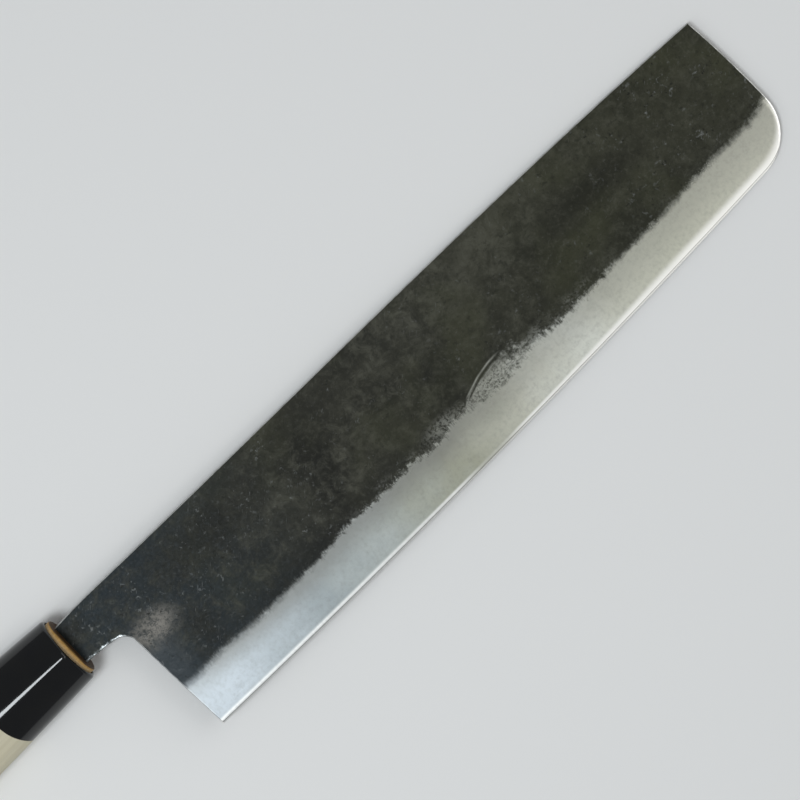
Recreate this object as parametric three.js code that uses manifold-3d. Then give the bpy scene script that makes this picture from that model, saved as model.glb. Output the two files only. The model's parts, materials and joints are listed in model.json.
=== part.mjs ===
// A negikiri: a long, straight-edged Japanese kitchen knife for slicing leeks and other vegetables.
// A three-layer blade, black from the forge above its ground bevel, is driven by its tang into a
// chestnut-section magnolia handle, whose spigot carries a black ferrule.
import * as THREE from "three";
import { mergeVertices } from "three/addons/utils/BufferGeometryUtils.js";
import Module from "manifold-3d";

const wasm = await Module();
wasm.setup();

// Driving dimensions, in millimetres.
// The knife's own axes: x runs from the heel corner to the front, y from the edge to the spine,
// and z out of the right face, with z = 0 in the middle of the blade.

// Blade outline
const BLADE_LENGTH = 240;
const HEEL_HEIGHT = 54.7;
const HEEL_LEAN = 1.9;
const FRONT_HEIGHT = 54.9;
const FRONT_LEAN = 1.6;
const SPINE_BOW = 1.3;
const EDGE_BELLY = 8.6;
const TIP_RADIUS = 16;
const CHOIL_RADIUS = 2.6;
const NECK_LENGTH = 15.8;
const NECK_HEIGHT = 13.7;
const NECK_DROP = 0.8;
const NECK_FLARE = 2;

// Blade thickness
const SPINE_AT_NECK = 3.8;
const SPINE_AT_FRONT = 1.7;
const SIDE_TAPER = 0.3;
const CORE_AT_NECK = 0.95;
const CORE_AT_FRONT = 0.5;
const WELD_GAP = 0.04;
const EASED_EDGE = 0.3;

// Ground bevels
const BEVEL_AT_HEEL = 16.5;
const BEVEL_AT_FRONT = 14;
const BEHIND_EDGE = 0.24;
const EDGE_THICKNESS = 0.06;
const EDGE_HALF_ANGLE = THREE.MathUtils.degToRad(12);

// Tang
const NECK_SEAT = 6;
const TANG_SHOULDER = 0.5;
const TANG_END_HEIGHT = 6;
const TANG_END_THICKNESS = 2.2;
const WOOD_PAST_TANG = 40;

// Handle and ferrule
const FIT_GAP = 0.3;
const HANDLE_LENGTH = 136;
const BUTT_HEIGHT = 30;
const BUTT_THICKNESS = 23;
const BUTT_ROUND = 2.2;
const RIDGE_RISE = 1.1;
const RIDGE_DROP = 1.2;
const RIDGE_SPREAD = THREE.MathUtils.degToRad(60);
const SPIGOT_WALL = 2.5;
const SPIGOT_CHEEK = 5.5;
const SPIGOT_DRAFT = 0.5;
const SPIGOT_STAND = 1.4;
const SPIGOT_ROUND = 0.5;
const FERRULE_WALL = 1.15;
const FERRULE_LENGTH = 25.8;
const FERRULE_ROUND = 1;
const JOINT_DISH = 1.5;

// Fineness of the curves
const CURVE_STEPS = 16;
const BEVEL_STEPS = 24;
const SECTION_POINTS = 48;
const FLARE_STEPS = 14;
const ROUND_STEPS = 4;
const LATHE_SEGMENTS = 72;
const MERGE_TOLERANCE = 1e-4;

// How far cutting solids run past what they cut
const OVERRUN = 5;

const { lerp, mapLinear, smoothstep } = THREE.MathUtils;

// Sizes and places that several pieces share
const mouthX = -(HEEL_LEAN + NECK_LENGTH);
const seatX = mouthX - NECK_SEAT;
const buttX = mouthX - HANDLE_LENGTH;
const tangEndX = buttX + WOOD_PAST_TANG;
const frontTopX = BLADE_LENGTH - FRONT_LEAN;
const neckTopY = HEEL_HEIGHT - NECK_DROP;
const neckLowY = neckTopY - NECK_HEIGHT;
const axisY = neckTopY - NECK_HEIGHT / 2;
const spigotHeight = NECK_HEIGHT + 2 * (FIT_GAP + SPIGOT_WALL);
const spigotThickness = SPINE_AT_NECK + 2 * (FIT_GAP + SPIGOT_CHEEK);
const mouthHeight = spigotHeight + 2 * (FIT_GAP + FERRULE_WALL);
const mouthThickness = spigotThickness + 2 * (FIT_GAP + FERRULE_WALL);

// A height clear of the blade's sides, for the solids that cut them
const outsideZ = SPINE_AT_NECK;

// A closed three.js geometry as a solid that can be joined and cut.
function solidFrom(geometry) {
  const bare = geometry.clone();
  bare.deleteAttribute("normal");
  bare.deleteAttribute("uv");
  const merged = mergeVertices(bare, MERGE_TOLERANCE);
  const vertProperties = new Float32Array(merged.attributes.position.array);
  const triVerts = new Uint32Array(merged.index.array);
  return new wasm.Manifold(new wasm.Mesh({ numProp: 3, vertProperties, triVerts }));
}

// A solid back as a three.js geometry.
function geometryFrom(solid) {
  const { vertProperties, triVerts } = solid.getMesh();
  const geometry = new THREE.BufferGeometry();
  geometry.setAttribute("position", new THREE.BufferAttribute(vertProperties, 3));
  geometry.setIndex(new THREE.BufferAttribute(triVerts, 1));
  geometry.computeVertexNormals();
  return geometry;
}

// A closed solid skinned over a row of convex loops with equally many points.
// The row runs the way the loops' right-hand normals point.
function loft(loops) {
  const count = loops[0].length;
  const last = (loops.length - 1) * count;
  const index = [];
  for (let start = 0; start < last; start += count) {
    for (let j = 0; j < count; j++) {
      const a = start + j;
      const b = start + ((j + 1) % count);
      index.push(a, b, b + count, a, b + count, a + count);
    }
  }
  for (let j = 1; j + 1 < count; j++) {
    index.push(0, j + 1, j);
    index.push(last, last + j, last + j + 1);
  }
  const geometry = new THREE.BufferGeometry().setFromPoints(loops.flat());
  geometry.setIndex(index);
  return solidFrom(geometry);
}

// The same loops on the other side of the blade's middle plane.
function mirrored(loops) {
  return loops.map((loop) => loop.map(({ x, y, z }) => new THREE.Vector3(x, y, -z)).reverse());
}

// A rectangle across the knife at x, from low to high and as far as half on either side of z = 0.
function crossRectangle(x, low, high, half) {
  return [
    new THREE.Vector3(x, low, -half),
    new THREE.Vector3(x, high, -half),
    new THREE.Vector3(x, high, half),
    new THREE.Vector3(x, low, half),
  ];
}

// Blade

// Height of the cutting edge: a shallow parabola that leaves the heel level.
function edgeY(x) {
  return EDGE_BELLY * (Math.max(x, 0) / BLADE_LENGTH) ** 2;
}

// Half the blade's thickness on its flat sides, which taper to the front and towards the edge.
function sideHalf(x, y) {
  const atSpine = mapLinear(x, mouthX, frontTopX, SPINE_AT_NECK, SPINE_AT_FRONT) / 2;
  return atSpine - ((HEEL_HEIGHT - y) / HEEL_HEIGHT) * (SIDE_TAPER / 2);
}

// Half the thickness of the hard core.
function coreHalf(x) {
  return mapLinear(x, mouthX, frontTopX, CORE_AT_NECK, CORE_AT_FRONT) / 2;
}

// The outline's curves, from the neck's seat in the handle round the choil, heel, edge, front
// and spine and back to the seat.
const outline = (() => {
  const at = (x, y) => new THREE.Vector2(x, y);
  const flareY = neckLowY - NECK_FLARE;
  const choilSide = CHOIL_RADIUS / 3;
  const choilStart = at(-HEEL_LEAN - CHOIL_RADIUS, flareY + choilSide);
  const choilEnd = at(-HEEL_LEAN * (1 - CHOIL_RADIUS / flareY), flareY - CHOIL_RADIUS);
  const heelCorner = at(0, 0);

  // The tip's round corner is tangent to the edge and to the front.
  const tipX = BLADE_LENGTH - TIP_RADIUS;
  const tipSlope = Math.atan((2 * EDGE_BELLY * tipX) / BLADE_LENGTH ** 2);
  const edgeEndX = tipX + TIP_RADIUS * Math.sin(tipSlope);
  const edgeEnd = at(edgeEndX, edgeY(edgeEndX));
  const tipY = edgeEnd.y + TIP_RADIUS * Math.cos(tipSlope);
  const frontTop = at(frontTopX, FRONT_HEIGHT);

  // The forged bow of the spine is highest two thirds of the way from the heel to the front.
  const bowPull = (9 / 4) * SPINE_BOW;
  const spineAt = (share, lift) =>
    at(frontTopX * share, lerp(HEEL_HEIGHT, FRONT_HEIGHT, share) + lift);

  return {
    neckLow: new THREE.LineCurve(at(seatX, neckLowY), at(mouthX, neckLowY)),
    neckSweep: new THREE.QuadraticBezierCurve(
      at(mouthX, neckLowY),
      at(mouthX / 2, neckLowY),
      choilStart,
    ),
    choil: new THREE.QuadraticBezierCurve(choilStart, at(-HEEL_LEAN, flareY - choilSide), choilEnd),
    heel: new THREE.LineCurve(choilEnd, heelCorner),
    edge: new THREE.QuadraticBezierCurve(heelCorner, at(edgeEndX / 2, 0), edgeEnd),
    tip: new THREE.EllipseCurve(tipX, tipY, TIP_RADIUS, TIP_RADIUS, tipSlope - Math.PI / 2, 0),
    front: new THREE.QuadraticBezierCurve(
      at(BLADE_LENGTH, tipY),
      at(BLADE_LENGTH, (tipY + FRONT_HEIGHT) / 2),
      frontTop,
    ),
    spine: new THREE.CubicBezierCurve(
      frontTop,
      spineAt(2 / 3, bowPull),
      spineAt(1 / 3, 0),
      spineAt(0, 0),
    ),
    neckTop: new THREE.QuadraticBezierCurve(
      spineAt(0, 0),
      at(mouthX / 2, HEEL_HEIGHT),
      at(mouthX, neckTopY),
    ),
    seatTop: new THREE.LineCurve(at(mouthX, neckTopY), at(seatX, neckTopY)),
  };
})();

// Places along joined curves of the outline, with the direction along it and into the blade.
function stationsAlong(curves) {
  const stations = [];
  for (const curve of curves) {
    const steps = curve.isLineCurve ? 1 : CURVE_STEPS;
    for (let i = 0; i <= steps; i++) {
      const along = curve.getTangent(i / steps);
      const inward = new THREE.Vector2(-along.y, along.x);
      if (i < steps || curve === curves.at(-1)) {
        stations.push({ point: curve.getPoint(i / steps), along, inward, round: i / steps });
      }
    }
  }
  return stations;
}

// The same places with one more straight before the first and one straight past the last.
function withOverruns(stations) {
  const moved = (station, distance) => ({
    ...station,
    point: station.point.clone().addScaledVector(station.along, distance),
  });
  return [moved(stations[0], -OVERRUN), ...stations, moved(stations.at(-1), OVERRUN)];
}

// What is taken off the right side along the outline: a plane that leaves half a thickness
// standing at the outline itself and rises into the blade.
function bevelLoops(stations, rise, reach, halfAt) {
  return stations.map((station) => {
    const { point, inward } = station;
    const half = halfAt(station);
    const place = (depth, z) =>
      new THREE.Vector3(point.x + inward.x * depth, point.y + inward.y * depth, z);
    return [
      place(-reach, half - rise * reach),
      place(reach, half + rise * reach),
      place(reach, outsideZ),
      place(-reach, outsideZ),
    ];
  });
}

// The wide ground bevel, straight from its shoulder on the flat side to just behind the edge.
function mainBevelLoops() {
  const loops = [];
  for (let i = 0; i <= BEVEL_STEPS; i++) {
    const x = lerp(-OVERRUN, BLADE_LENGTH + OVERRUN, i / BEVEL_STEPS);
    const width = mapLinear(x, 0, BLADE_LENGTH, BEVEL_AT_HEEL, BEVEL_AT_FRONT);
    const low = edgeY(x) - OVERRUN;
    const high = edgeY(x) + width;
    const slope = (sideHalf(x, high) - BEHIND_EDGE / 2) / width;
    loops.push([
      new THREE.Vector3(x, low, BEHIND_EDGE / 2 - slope * OVERRUN),
      new THREE.Vector3(x, high, sideHalf(x, high)),
      new THREE.Vector3(x, high, outsideZ),
      new THREE.Vector3(x, low, outsideZ),
    ]);
  }
  return loops;
}

// The narrow bevel of the edge itself, which is sharp as far as the tip and blunts away round it.
function edgeBevelLoops() {
  const [beforeHeel, ...stations] = withOverruns(stationsAlong([outline.edge])).slice(0, -2);
  const rise = Math.tan(EDGE_HALF_ANGLE);
  const sharp = EDGE_THICKNESS / 2;
  const blunting = ({ point, round }) =>
    lerp(sharp, sideHalf(point.x, point.y) - EASED_EDGE, smoothstep(round, 0, 1));
  return [
    ...bevelLoops([beforeHeel, ...stations], rise, OVERRUN, () => sharp),
    ...bevelLoops(stationsAlong([outline.tip]), rise, OVERRUN, blunting),
  ];
}

// The small eased corners of the neck, heel, front and spine.
function easedLoops(curves) {
  const halfAt = ({ point }) => sideHalf(point.x, point.y) - EASED_EDGE;
  return bevelLoops(withOverruns(stationsAlong(curves)), 1, 2 * EASED_EDGE, halfAt);
}

// Two cross rectangles that bound a slab, given its half thickness at any x and y.
function slabLoops(half) {
  const low = -OVERRUN;
  const high = Math.max(HEEL_HEIGHT, FRONT_HEIGHT) + SPINE_BOW + OVERRUN;
  return [tangEndX - OVERRUN, BLADE_LENGTH + OVERRUN].map((x) => [
    new THREE.Vector3(x, low, -half(x, low)),
    new THREE.Vector3(x, high, -half(x, high)),
    new THREE.Vector3(x, high, half(x, high)),
    new THREE.Vector3(x, low, half(x, low)),
  ]);
}

// The tang's two end sections, grown by a gap all round.
function tangLoops(gap) {
  const rootHalf = NECK_HEIGHT / 2 - TANG_SHOULDER + gap;
  const rootThickness = sideHalf(seatX, neckLowY) - TANG_SHOULDER + gap;
  const endHalf = TANG_END_HEIGHT / 2 + gap;
  const endThickness = TANG_END_THICKNESS / 2 + gap;
  return [
    crossRectangle(tangEndX - gap, axisY - endHalf, axisY + endHalf, endThickness),
    crossRectangle(seatX + TANG_SHOULDER, axisY - rootHalf, axisY + rootHalf, rootThickness),
  ];
}

// The whole forging before it is told apart into its three layers.
function bladeForging() {
  const shape = new THREE.Shape();
  for (const curve of Object.values(outline)) {
    shape.add(curve);
  }
  const plate = new THREE.ExtrudeGeometry(shape, {
    depth: 2 * outsideZ,
    bevelEnabled: false,
    curveSegments: CURVE_STEPS,
  });
  plate.translate(0, 0, -outsideZ);
  let blade = solidFrom(plate).intersect(loft(slabLoops(sideHalf)));
  const { neckLow, neckSweep, choil, heel, front, spine, neckTop, seatTop } = outline;
  for (const loops of [
    mainBevelLoops(),
    edgeBevelLoops(),
    easedLoops([neckLow, neckSweep, choil, heel]),
    easedLoops([front]),
    easedLoops([spine, neckTop, seatTop]),
  ]) {
    blade = blade.subtract(loft(loops)).subtract(loft(mirrored(loops)));
  }
  return blade.add(loft(tangLoops(0)));
}

// Everything on the right of the hard core, past the weld.
function rightOfCoreLoops() {
  return slabLoops((x) => coreHalf(x) + WELD_GAP / 2).map(([, , highRight, lowRight]) => [
    lowRight,
    highRight,
    highRight.clone().setZ(outsideZ),
    lowRight.clone().setZ(outsideZ),
  ]);
}

const forging = bladeForging();
const coreSteel = forging.intersect(loft(slabLoops((x) => coreHalf(x) - WELD_GAP / 2)));
const rightCladding = forging.intersect(loft(rightOfCoreLoops()));
const leftCladding = forging.intersect(loft(mirrored(rightOfCoreLoops())));

// Handle and ferrule

// How far the handle has flared at a distance behind the ferrule's mouth, from 0 to 1.
function flare(behind) {
  return 1 - (1 - behind / HANDLE_LENGTH) ** 2;
}

// The chestnut section: an oval with a soft ridge for the fingers on its right side.
function chestnutLoop(x, inset) {
  const spread = flare(mouthX - x);
  const halfHeight = lerp(mouthHeight, BUTT_HEIGHT, spread) / 2 - inset;
  const halfThickness = lerp(mouthThickness, BUTT_THICKNESS, spread) / 2 - inset;
  const ridgeAngle = Math.acos(-RIDGE_DROP / halfHeight);
  const loop = [];
  for (let i = 0; i < SECTION_POINTS; i++) {
    const away = (2 * Math.PI * i) / SECTION_POINTS;
    const offRidge = Math.min(away, 2 * Math.PI - away) / RIDGE_SPREAD;
    const ridge = RIDGE_RISE * Math.max(0, 1 - offRidge) ** 2;
    const angle = ridgeAngle + away;
    const y = axisY + halfHeight * Math.cos(angle);
    const z = halfThickness * Math.sin(angle) + ridge;
    loop.push(new THREE.Vector3(x, y, z));
  }
  return loop;
}

// Insets and setbacks of a rounded rim, from its end face to where the side runs straight.
function rimSteps(radius) {
  return Array.from({ length: ROUND_STEPS + 1 }, (_, i) => {
    const angle = ((Math.PI / 2) * i) / ROUND_STEPS;
    return { inset: radius * (1 - Math.sin(angle)), back: radius * (1 - Math.cos(angle)) };
  });
}

// The outside of handle and ferrule together, as they are shaped on the belt in one go.
function gripForm() {
  const loops = rimSteps(BUTT_ROUND).map(({ inset, back }) => chestnutLoop(buttX + back, inset));
  const first = buttX + BUTT_ROUND;
  const last = mouthX - FERRULE_ROUND;
  for (let i = 1; i < FLARE_STEPS; i++) {
    loops.push(chestnutLoop(lerp(first, last, i / FLARE_STEPS), 0));
  }
  const mouthRim = rimSteps(FERRULE_ROUND).reverse();
  loops.push(...mouthRim.map(({ inset, back }) => chestnutLoop(mouthX - back, inset)));
  return loft(loops);
}

// The spigot's oval at x, grown by a gap all round. It thickens a little towards its root.
function spigotLoop(x, gap) {
  const growth = gap + (SPIGOT_DRAFT * (mouthX - x)) / FERRULE_LENGTH;
  return Array.from({ length: SECTION_POINTS }, (_, i) => {
    const angle = (2 * Math.PI * i) / SECTION_POINTS;
    const y = axisY + (spigotHeight / 2 + growth) * Math.cos(angle);
    return new THREE.Vector3(x, y, (spigotThickness / 2 + growth) * Math.sin(angle));
  });
}

const jointX = mouthX - FERRULE_LENGTH;
const jointRadius = lerp(mouthHeight, BUTT_HEIGHT, flare(FERRULE_LENGTH)) / 2;

// Where the dished shoulder between wood and ferrule lies at a radius from the handle's axis.
function shoulderX(radius) {
  return jointX - JOINT_DISH * (jointRadius - radius);
}

// All that lies between the dished shoulder, moved by a shift, and a plane across the handle.
function shoulderSide(planeX, shift) {
  const reach = BUTT_HEIGHT;
  const profile = [
    new THREE.Vector2(0, shoulderX(0) + shift),
    new THREE.Vector2(reach, shoulderX(reach) + shift),
    new THREE.Vector2(reach, planeX),
    new THREE.Vector2(0, planeX),
  ];
  if (planeX < shoulderX(0)) {
    profile.reverse();
  }
  const geometry = new THREE.LatheGeometry(profile, LATHE_SEGMENTS);
  geometry.rotateZ(-Math.PI / 2);
  geometry.translate(0, axisY, 0);
  return solidFrom(geometry);
}

// The burnt-in slot that takes the neck's end and the tang.
function tangSlot() {
  const half = sideHalf(seatX, HEEL_HEIGHT) + FIT_GAP;
  const low = neckLowY - FIT_GAP;
  const high = neckTopY + FIT_GAP;
  const neckSlot = loft([
    crossRectangle(seatX - FIT_GAP, low, high, half),
    crossRectangle(mouthX + SPIGOT_STAND + OVERRUN, low, high, half),
  ]);
  return neckSlot.add(loft(tangLoops(FIT_GAP)));
}

const grip = gripForm();
const spigotRootX = shoulderX(0) - OVERRUN;
const spigotEndX = mouthX + SPIGOT_STAND;
const spigotRim = rimSteps(SPIGOT_ROUND).reverse();
const spigot = loft([
  spigotLoop(spigotRootX, 0),
  ...spigotRim.map(({ inset, back }) => spigotLoop(spigotEndX - back, -inset)),
]);
const bore = loft([spigotLoop(spigotRootX, FIT_GAP), spigotLoop(mouthX + OVERRUN, FIT_GAP)]);
const ferrule = grip.intersect(shoulderSide(mouthX + OVERRUN, 0)).subtract(bore);
const woodBody = grip.intersect(shoulderSide(buttX - OVERRUN, -FIT_GAP));
const handle = woodBody.add(spigot).subtract(tangSlot());

// Assembly

const blackScale = { color: 0x2f312e, roughness: 0.62, metalness: 0.75 };
const groundSteel = { color: 0xb4b6b2, roughness: 0.34, metalness: 1 };
const blackPlastic = { color: 0x08090a, roughness: 0.12, metalness: 0 };
const magnolia = { color: 0xcbc2a4, roughness: 0.72, metalness: 0 };

const knife = new THREE.Group();
for (const [name, solid, finish] of [
  ["core_steel", coreSteel, groundSteel],
  ["right_cladding", rightCladding, blackScale],
  ["left_cladding", leftCladding, blackScale],
  ["ferrule", ferrule, blackPlastic],
  ["handle", handle, magnolia],
]) {
  const mesh = new THREE.Mesh(geometryFrom(solid), new THREE.MeshStandardMaterial(finish));
  mesh.name = name;
  knife.add(mesh);
}

// Put down on its left side, the knife rests on the handle's butt and along the blade's front.
const buttRest = new THREE.Vector3(buttX + BUTT_ROUND, axisY, -BUTT_THICKNESS / 2);
const bevelTopY = edgeY(BLADE_LENGTH) + BEVEL_AT_FRONT;
const [alongBevel, alongSpine] = [
  new THREE.Vector3(BLADE_LENGTH, bevelTopY, -sideHalf(BLADE_LENGTH, bevelTopY)),
  new THREE.Vector3(frontTopX, FRONT_HEIGHT, -sideHalf(frontTopX, FRONT_HEIGHT)),
].map((rest) => rest.sub(buttRest));
const restNormal = alongBevel.cross(alongSpine).normalize();
knife.quaternion.setFromUnitVectors(restNormal, new THREE.Vector3(0, 0, 1));

// The frame: +Z up, with the origin under the middle of the knife on the surface that it lies on.
const box = new THREE.Box3().setFromObject(knife, true);
const centre = box.getCenter(new THREE.Vector3());
knife.position.set(-centre.x, -centre.y, -box.min.z);

const negikiri = new THREE.Group();
negikiri.add(knife);

export default negikiri;
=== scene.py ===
"""A negikiri, a long Japanese vegetable knife, lying on its left side on a pale floor.

The blade's three layers, the ferrule and the handle are made again with the forged, ground and worn
surfaces that their solids leave plain. Lengths are in millimetres along the knife's own axes: x from the
heel corner to the front, y from the edge to the spine, z out of the right face, with z = 0 in the middle of
the blade.
"""

import json
import math
from functools import reduce

import bmesh
import bpy
import numpy as np
from mathutils import Matrix, Vector, noise
from mathutils.geometry import delaunay_2d_cdt
from mathutils.kdtree import KDTree


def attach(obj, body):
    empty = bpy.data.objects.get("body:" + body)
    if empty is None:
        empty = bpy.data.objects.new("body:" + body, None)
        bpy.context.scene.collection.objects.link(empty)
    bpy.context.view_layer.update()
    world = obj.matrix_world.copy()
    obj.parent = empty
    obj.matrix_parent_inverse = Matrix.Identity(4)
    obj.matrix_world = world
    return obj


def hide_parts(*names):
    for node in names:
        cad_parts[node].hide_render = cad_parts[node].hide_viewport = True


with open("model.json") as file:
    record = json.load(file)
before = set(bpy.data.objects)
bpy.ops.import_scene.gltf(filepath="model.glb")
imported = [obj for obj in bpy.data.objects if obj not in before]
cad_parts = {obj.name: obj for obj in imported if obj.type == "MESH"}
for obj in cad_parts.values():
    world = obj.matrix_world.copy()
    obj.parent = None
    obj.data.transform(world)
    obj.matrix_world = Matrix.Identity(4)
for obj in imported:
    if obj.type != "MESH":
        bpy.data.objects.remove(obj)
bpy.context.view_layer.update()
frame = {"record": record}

MM = 0.001

# The blade's outline
BLADE_LENGTH = 240
HEEL_HEIGHT = 54.7
HEEL_LEAN = 1.9
FRONT_HEIGHT = 54.9
FRONT_LEAN = 1.6
SPINE_BOW = 1.3
EDGE_BELLY = 8.6
TIP_RADIUS = 16
CHOIL_RADIUS = 2.6
NECK_LENGTH = 15.8
NECK_HEIGHT = 13.7
NECK_DROP = 0.8
NECK_FLARE = 2

# The blade's thickness
SPINE_AT_NECK = 3.8
SPINE_AT_FRONT = 1.7
SIDE_TAPER = 0.3
CORE_AT_NECK = 0.95
CORE_AT_FRONT = 0.5
WELD_GAP = 0.002
EASED_EDGE = 0.3

# The blade's ground bevels
BEVEL_AT_HEEL = 16.5
BEVEL_AT_FRONT = 14
BEHIND_EDGE = 0.24
EDGE_THICKNESS = 0.06
EDGE_HALF_ANGLE = math.radians(12)
# The stone starts just behind the heel corner
GRIND_START = -1

# The blade's tang
NECK_SEAT = 6
TANG_SHOULDER = 0.5
TANG_END_HEIGHT = 6
TANG_END_THICKNESS = 2.2
WOOD_PAST_TANG = 40
# The tang's own thickness starts just behind the seat
TANG_START_GAP = 0.01

# The handle's and the ferrule's sizes
FIT_GAP = 0.3
HANDLE_LENGTH = 136
BUTT_HEIGHT = 30
BUTT_THICKNESS = 23
BUTT_ROUND = 2.2
RIDGE_RISE = 1.1
RIDGE_DROP = 1.2
RIDGE_SPREAD = math.radians(60)
# How far round the section the ridge is rounded off, in radians
RIDGE_SOFT_AT_MOUTH = 0.03
RIDGE_SOFT_AT_JOINT = 0.16
SPIGOT_WALL = 2.5
SPIGOT_CHEEK = 5.5
SPIGOT_DRAFT = 0.5
SPIGOT_STAND = 1.4
SPIGOT_ROUND = 0.5
FERRULE_WALL = 1.15
FERRULE_LENGTH = 25.8
FERRULE_ROUND = 1
JOINT_DISH = 1.5
JOINT_SEAM = 0.03
# How far smooth curves stay inside the flat facets of the solids
FACET_INSET = 0.02

# Places that several pieces share
MOUTH_X = -(HEEL_LEAN + NECK_LENGTH)
SEAT_X = MOUTH_X - NECK_SEAT
JOINT_X = MOUTH_X - FERRULE_LENGTH
SPIGOT_END_X = MOUTH_X + SPIGOT_STAND
BUTT_X = MOUTH_X - HANDLE_LENGTH
TANG_END_X = BUTT_X + WOOD_PAST_TANG
FRONT_TOP_X = BLADE_LENGTH - FRONT_LEAN
NECK_TOP_Y = HEEL_HEIGHT - NECK_DROP
NECK_LOW_Y = NECK_TOP_Y - NECK_HEIGHT
AXIS_Y = NECK_TOP_Y - NECK_HEIGHT / 2
SPIGOT_HEIGHT = NECK_HEIGHT + 2 * (FIT_GAP + SPIGOT_WALL)
SPIGOT_THICKNESS = SPINE_AT_NECK + 2 * (FIT_GAP + SPIGOT_CHEEK)
MOUTH_HEIGHT = SPIGOT_HEIGHT + 2 * (FIT_GAP + FERRULE_WALL)
MOUTH_THICKNESS = SPIGOT_THICKNESS + 2 * (FIT_GAP + FERRULE_WALL)

# Where the grinding stops on the right side: places along the blade, and heights above the even line
SHOULDER_WAVES = (
    (-5, -1.8), (4, -1.4), (14, -0.5), (22, -1.2), (32, -1.4), (47, -1.1), (56, -0.7), (62, 0.1),
    (68, 0.5), (76, 0.0), (86, 0.0), (92, 0.4), (98, -0.9), (104, -0.8), (110, 1.0), (114, 0.1),
    (120, -1.5), (131, -1.5), (137, -0.6), (144, 0.0), (152, -1.1), (161, -0.7), (170, -1.0),
    (178, -0.6), (196, -1.1), (205, -0.6), (212, -0.3), (222, -0.7), (231, -1.0), (236, 0.0),
    (240, 1.6), (245, 2.2),
)
# On the left side: how long the line's waves are, and what shifts them
LEFT_LINE_WAVE = 13
LEFT_LINE_SHIFT = Vector((0, 7.3, 1.9))
# The top of a spot on the right side that the stone only brushed, above that line
BRUSHED_TOP = (
    (113, 17.4), (116.3, 20), (123, 22.4), (128, 23.4), (132, 23.7), (138, 22.3), (146, 18.4),
)
# What stands for no such spot, on the left side
NOT_BRUSHED = -9

# The forged surface: how high its waves stand and how long they are
LONG_WAVE = (0.07, 42)
HAMMER_WAVE = (0.03, 11)
LEFT_SIDE_SHIFT = Vector((311, 173, 59))
# Where along the blade its waves begin, and where they are full
WAVES_START = MOUTH_X + 1
WAVES_FULL = 8
# How far from the shoulder line it bends to meet the bevel
SHOULDER_PULL = 9
# The depth where the stone never reached
NEVER_GROUND = -1

# How keen the honed edge is at least, and how far its polish and painted highlight move off where it is
# blunt
HONED_KEENNESS = 0.02
HONE_FADE = 2.2
# Where the file marks under the neck begin, and where they are full
FILED_START = -HEEL_LEAN - 0.5
FILED_FULL = -HEEL_LEAN - 2
# Where the wood begins to be golden, and where it is
TOAST_START = MOUTH_X - 0.6
TOAST_FULL = MOUTH_X + 0.2
# Where its end begins to be darker, and where it is
DARK_END_START = SPIGOT_END_X - 0.4
DARK_END_FULL = SPIGOT_END_X - 0.1
# How far from the slot the darkening is full, and where it ends
DARK_END_REACH = 3.2
DARK_END_STOP = 5.6

# Fineness of the meshes
OUTLINE_STEP = 0.6
RING_DEPTHS = (0, 0.04, 0.12, 0.21, 0.3, 0.45, 0.65, 0.9, 1.3)
COARSE_STEP = 1.15
FINE_STEP = 0.5
FINE_BAND = 3
# Points that are nearer than this are one
POINT_SLACK = 1e-7
AROUND = 192
# Above 1, the points of a section crowd on its ridge
RIDGE_CROWDING = 1.5
ROUND_STEPS = 6
# How often a loop is moved to settle on the joint's shoulder
SEATING_ROUNDS = 8
# Rows of loops along ferrule and handle, and how far off their rims the nearest ones are
FERRULE_ROWS = 40
BORE_RIM = 0.15
BORE_FRONT = 2
BORE_ROWS = 6
BUTT_INSETS = (6, 4)
GRIP_ROWS = 90
SPIGOT_ROWS = 12
SPIGOT_FACE_SHARES = (0.2, 0.45, 0.7, 0.9)
SLOT_RIM = 0.4
BLADE_CREASE = math.radians(28)
HANDLE_CREASE = math.radians(35)


def lerp(a, b, share):
    return a + (b - a) * share


def smooth(value, low, high):
    share = np.clip((value - low) / (high - low), 0, 1)
    return share * share * (3 - 2 * share)


# The knife's place in the frame


def edge_y(x):
    """Height of the cutting edge: a shallow parabola that leaves the heel level."""
    return EDGE_BELLY * (np.maximum(x, 0) / BLADE_LENGTH) ** 2


def along_blade(x, at_neck, at_front):
    return lerp(at_neck, at_front, (x - MOUTH_X) / (FRONT_TOP_X - MOUTH_X))


def side_half(x, y):
    """Half the blade's thickness on its flat sides."""
    at_spine = along_blade(x, SPINE_AT_NECK, SPINE_AT_FRONT) / 2
    return at_spine - (HEEL_HEIGHT - y) / HEEL_HEIGHT * SIDE_TAPER / 2


def core_half(x):
    """Half the thickness of the hard core."""
    return along_blade(x, CORE_AT_NECK, CORE_AT_FRONT) / 2


def resting_place():
    """From the knife's own axes, in millimetres, to where it lies in the frame, in metres.

    It lies in the plane through the butt's underside and the blade's front.
    """
    butt_rest = Vector((BUTT_X + BUTT_ROUND, AXIS_Y, -BUTT_THICKNESS / 2))
    bevel_top = edge_y(BLADE_LENGTH) + BEVEL_AT_FRONT
    along_bevel = Vector((BLADE_LENGTH, bevel_top, -side_half(BLADE_LENGTH, bevel_top))) - butt_rest
    along_spine = Vector((FRONT_TOP_X, FRONT_HEIGHT, -side_half(FRONT_TOP_X, FRONT_HEIGHT))) - butt_rest
    up = along_bevel.cross(along_spine).normalized()
    turn = up.rotation_difference(Vector((0, 0, 1))).to_matrix()
    butt = next(mount for mount in frame["record"]["mounts"] if mount["name"] == "butt_end")
    shift = Vector(butt["pos_m"]) - turn @ Vector((BUTT_X, AXIS_Y, 0)) * MM
    return Matrix.Translation(shift) @ turn.to_4x4() @ Matrix.Scale(MM, 4)


resting = resting_place()


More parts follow.
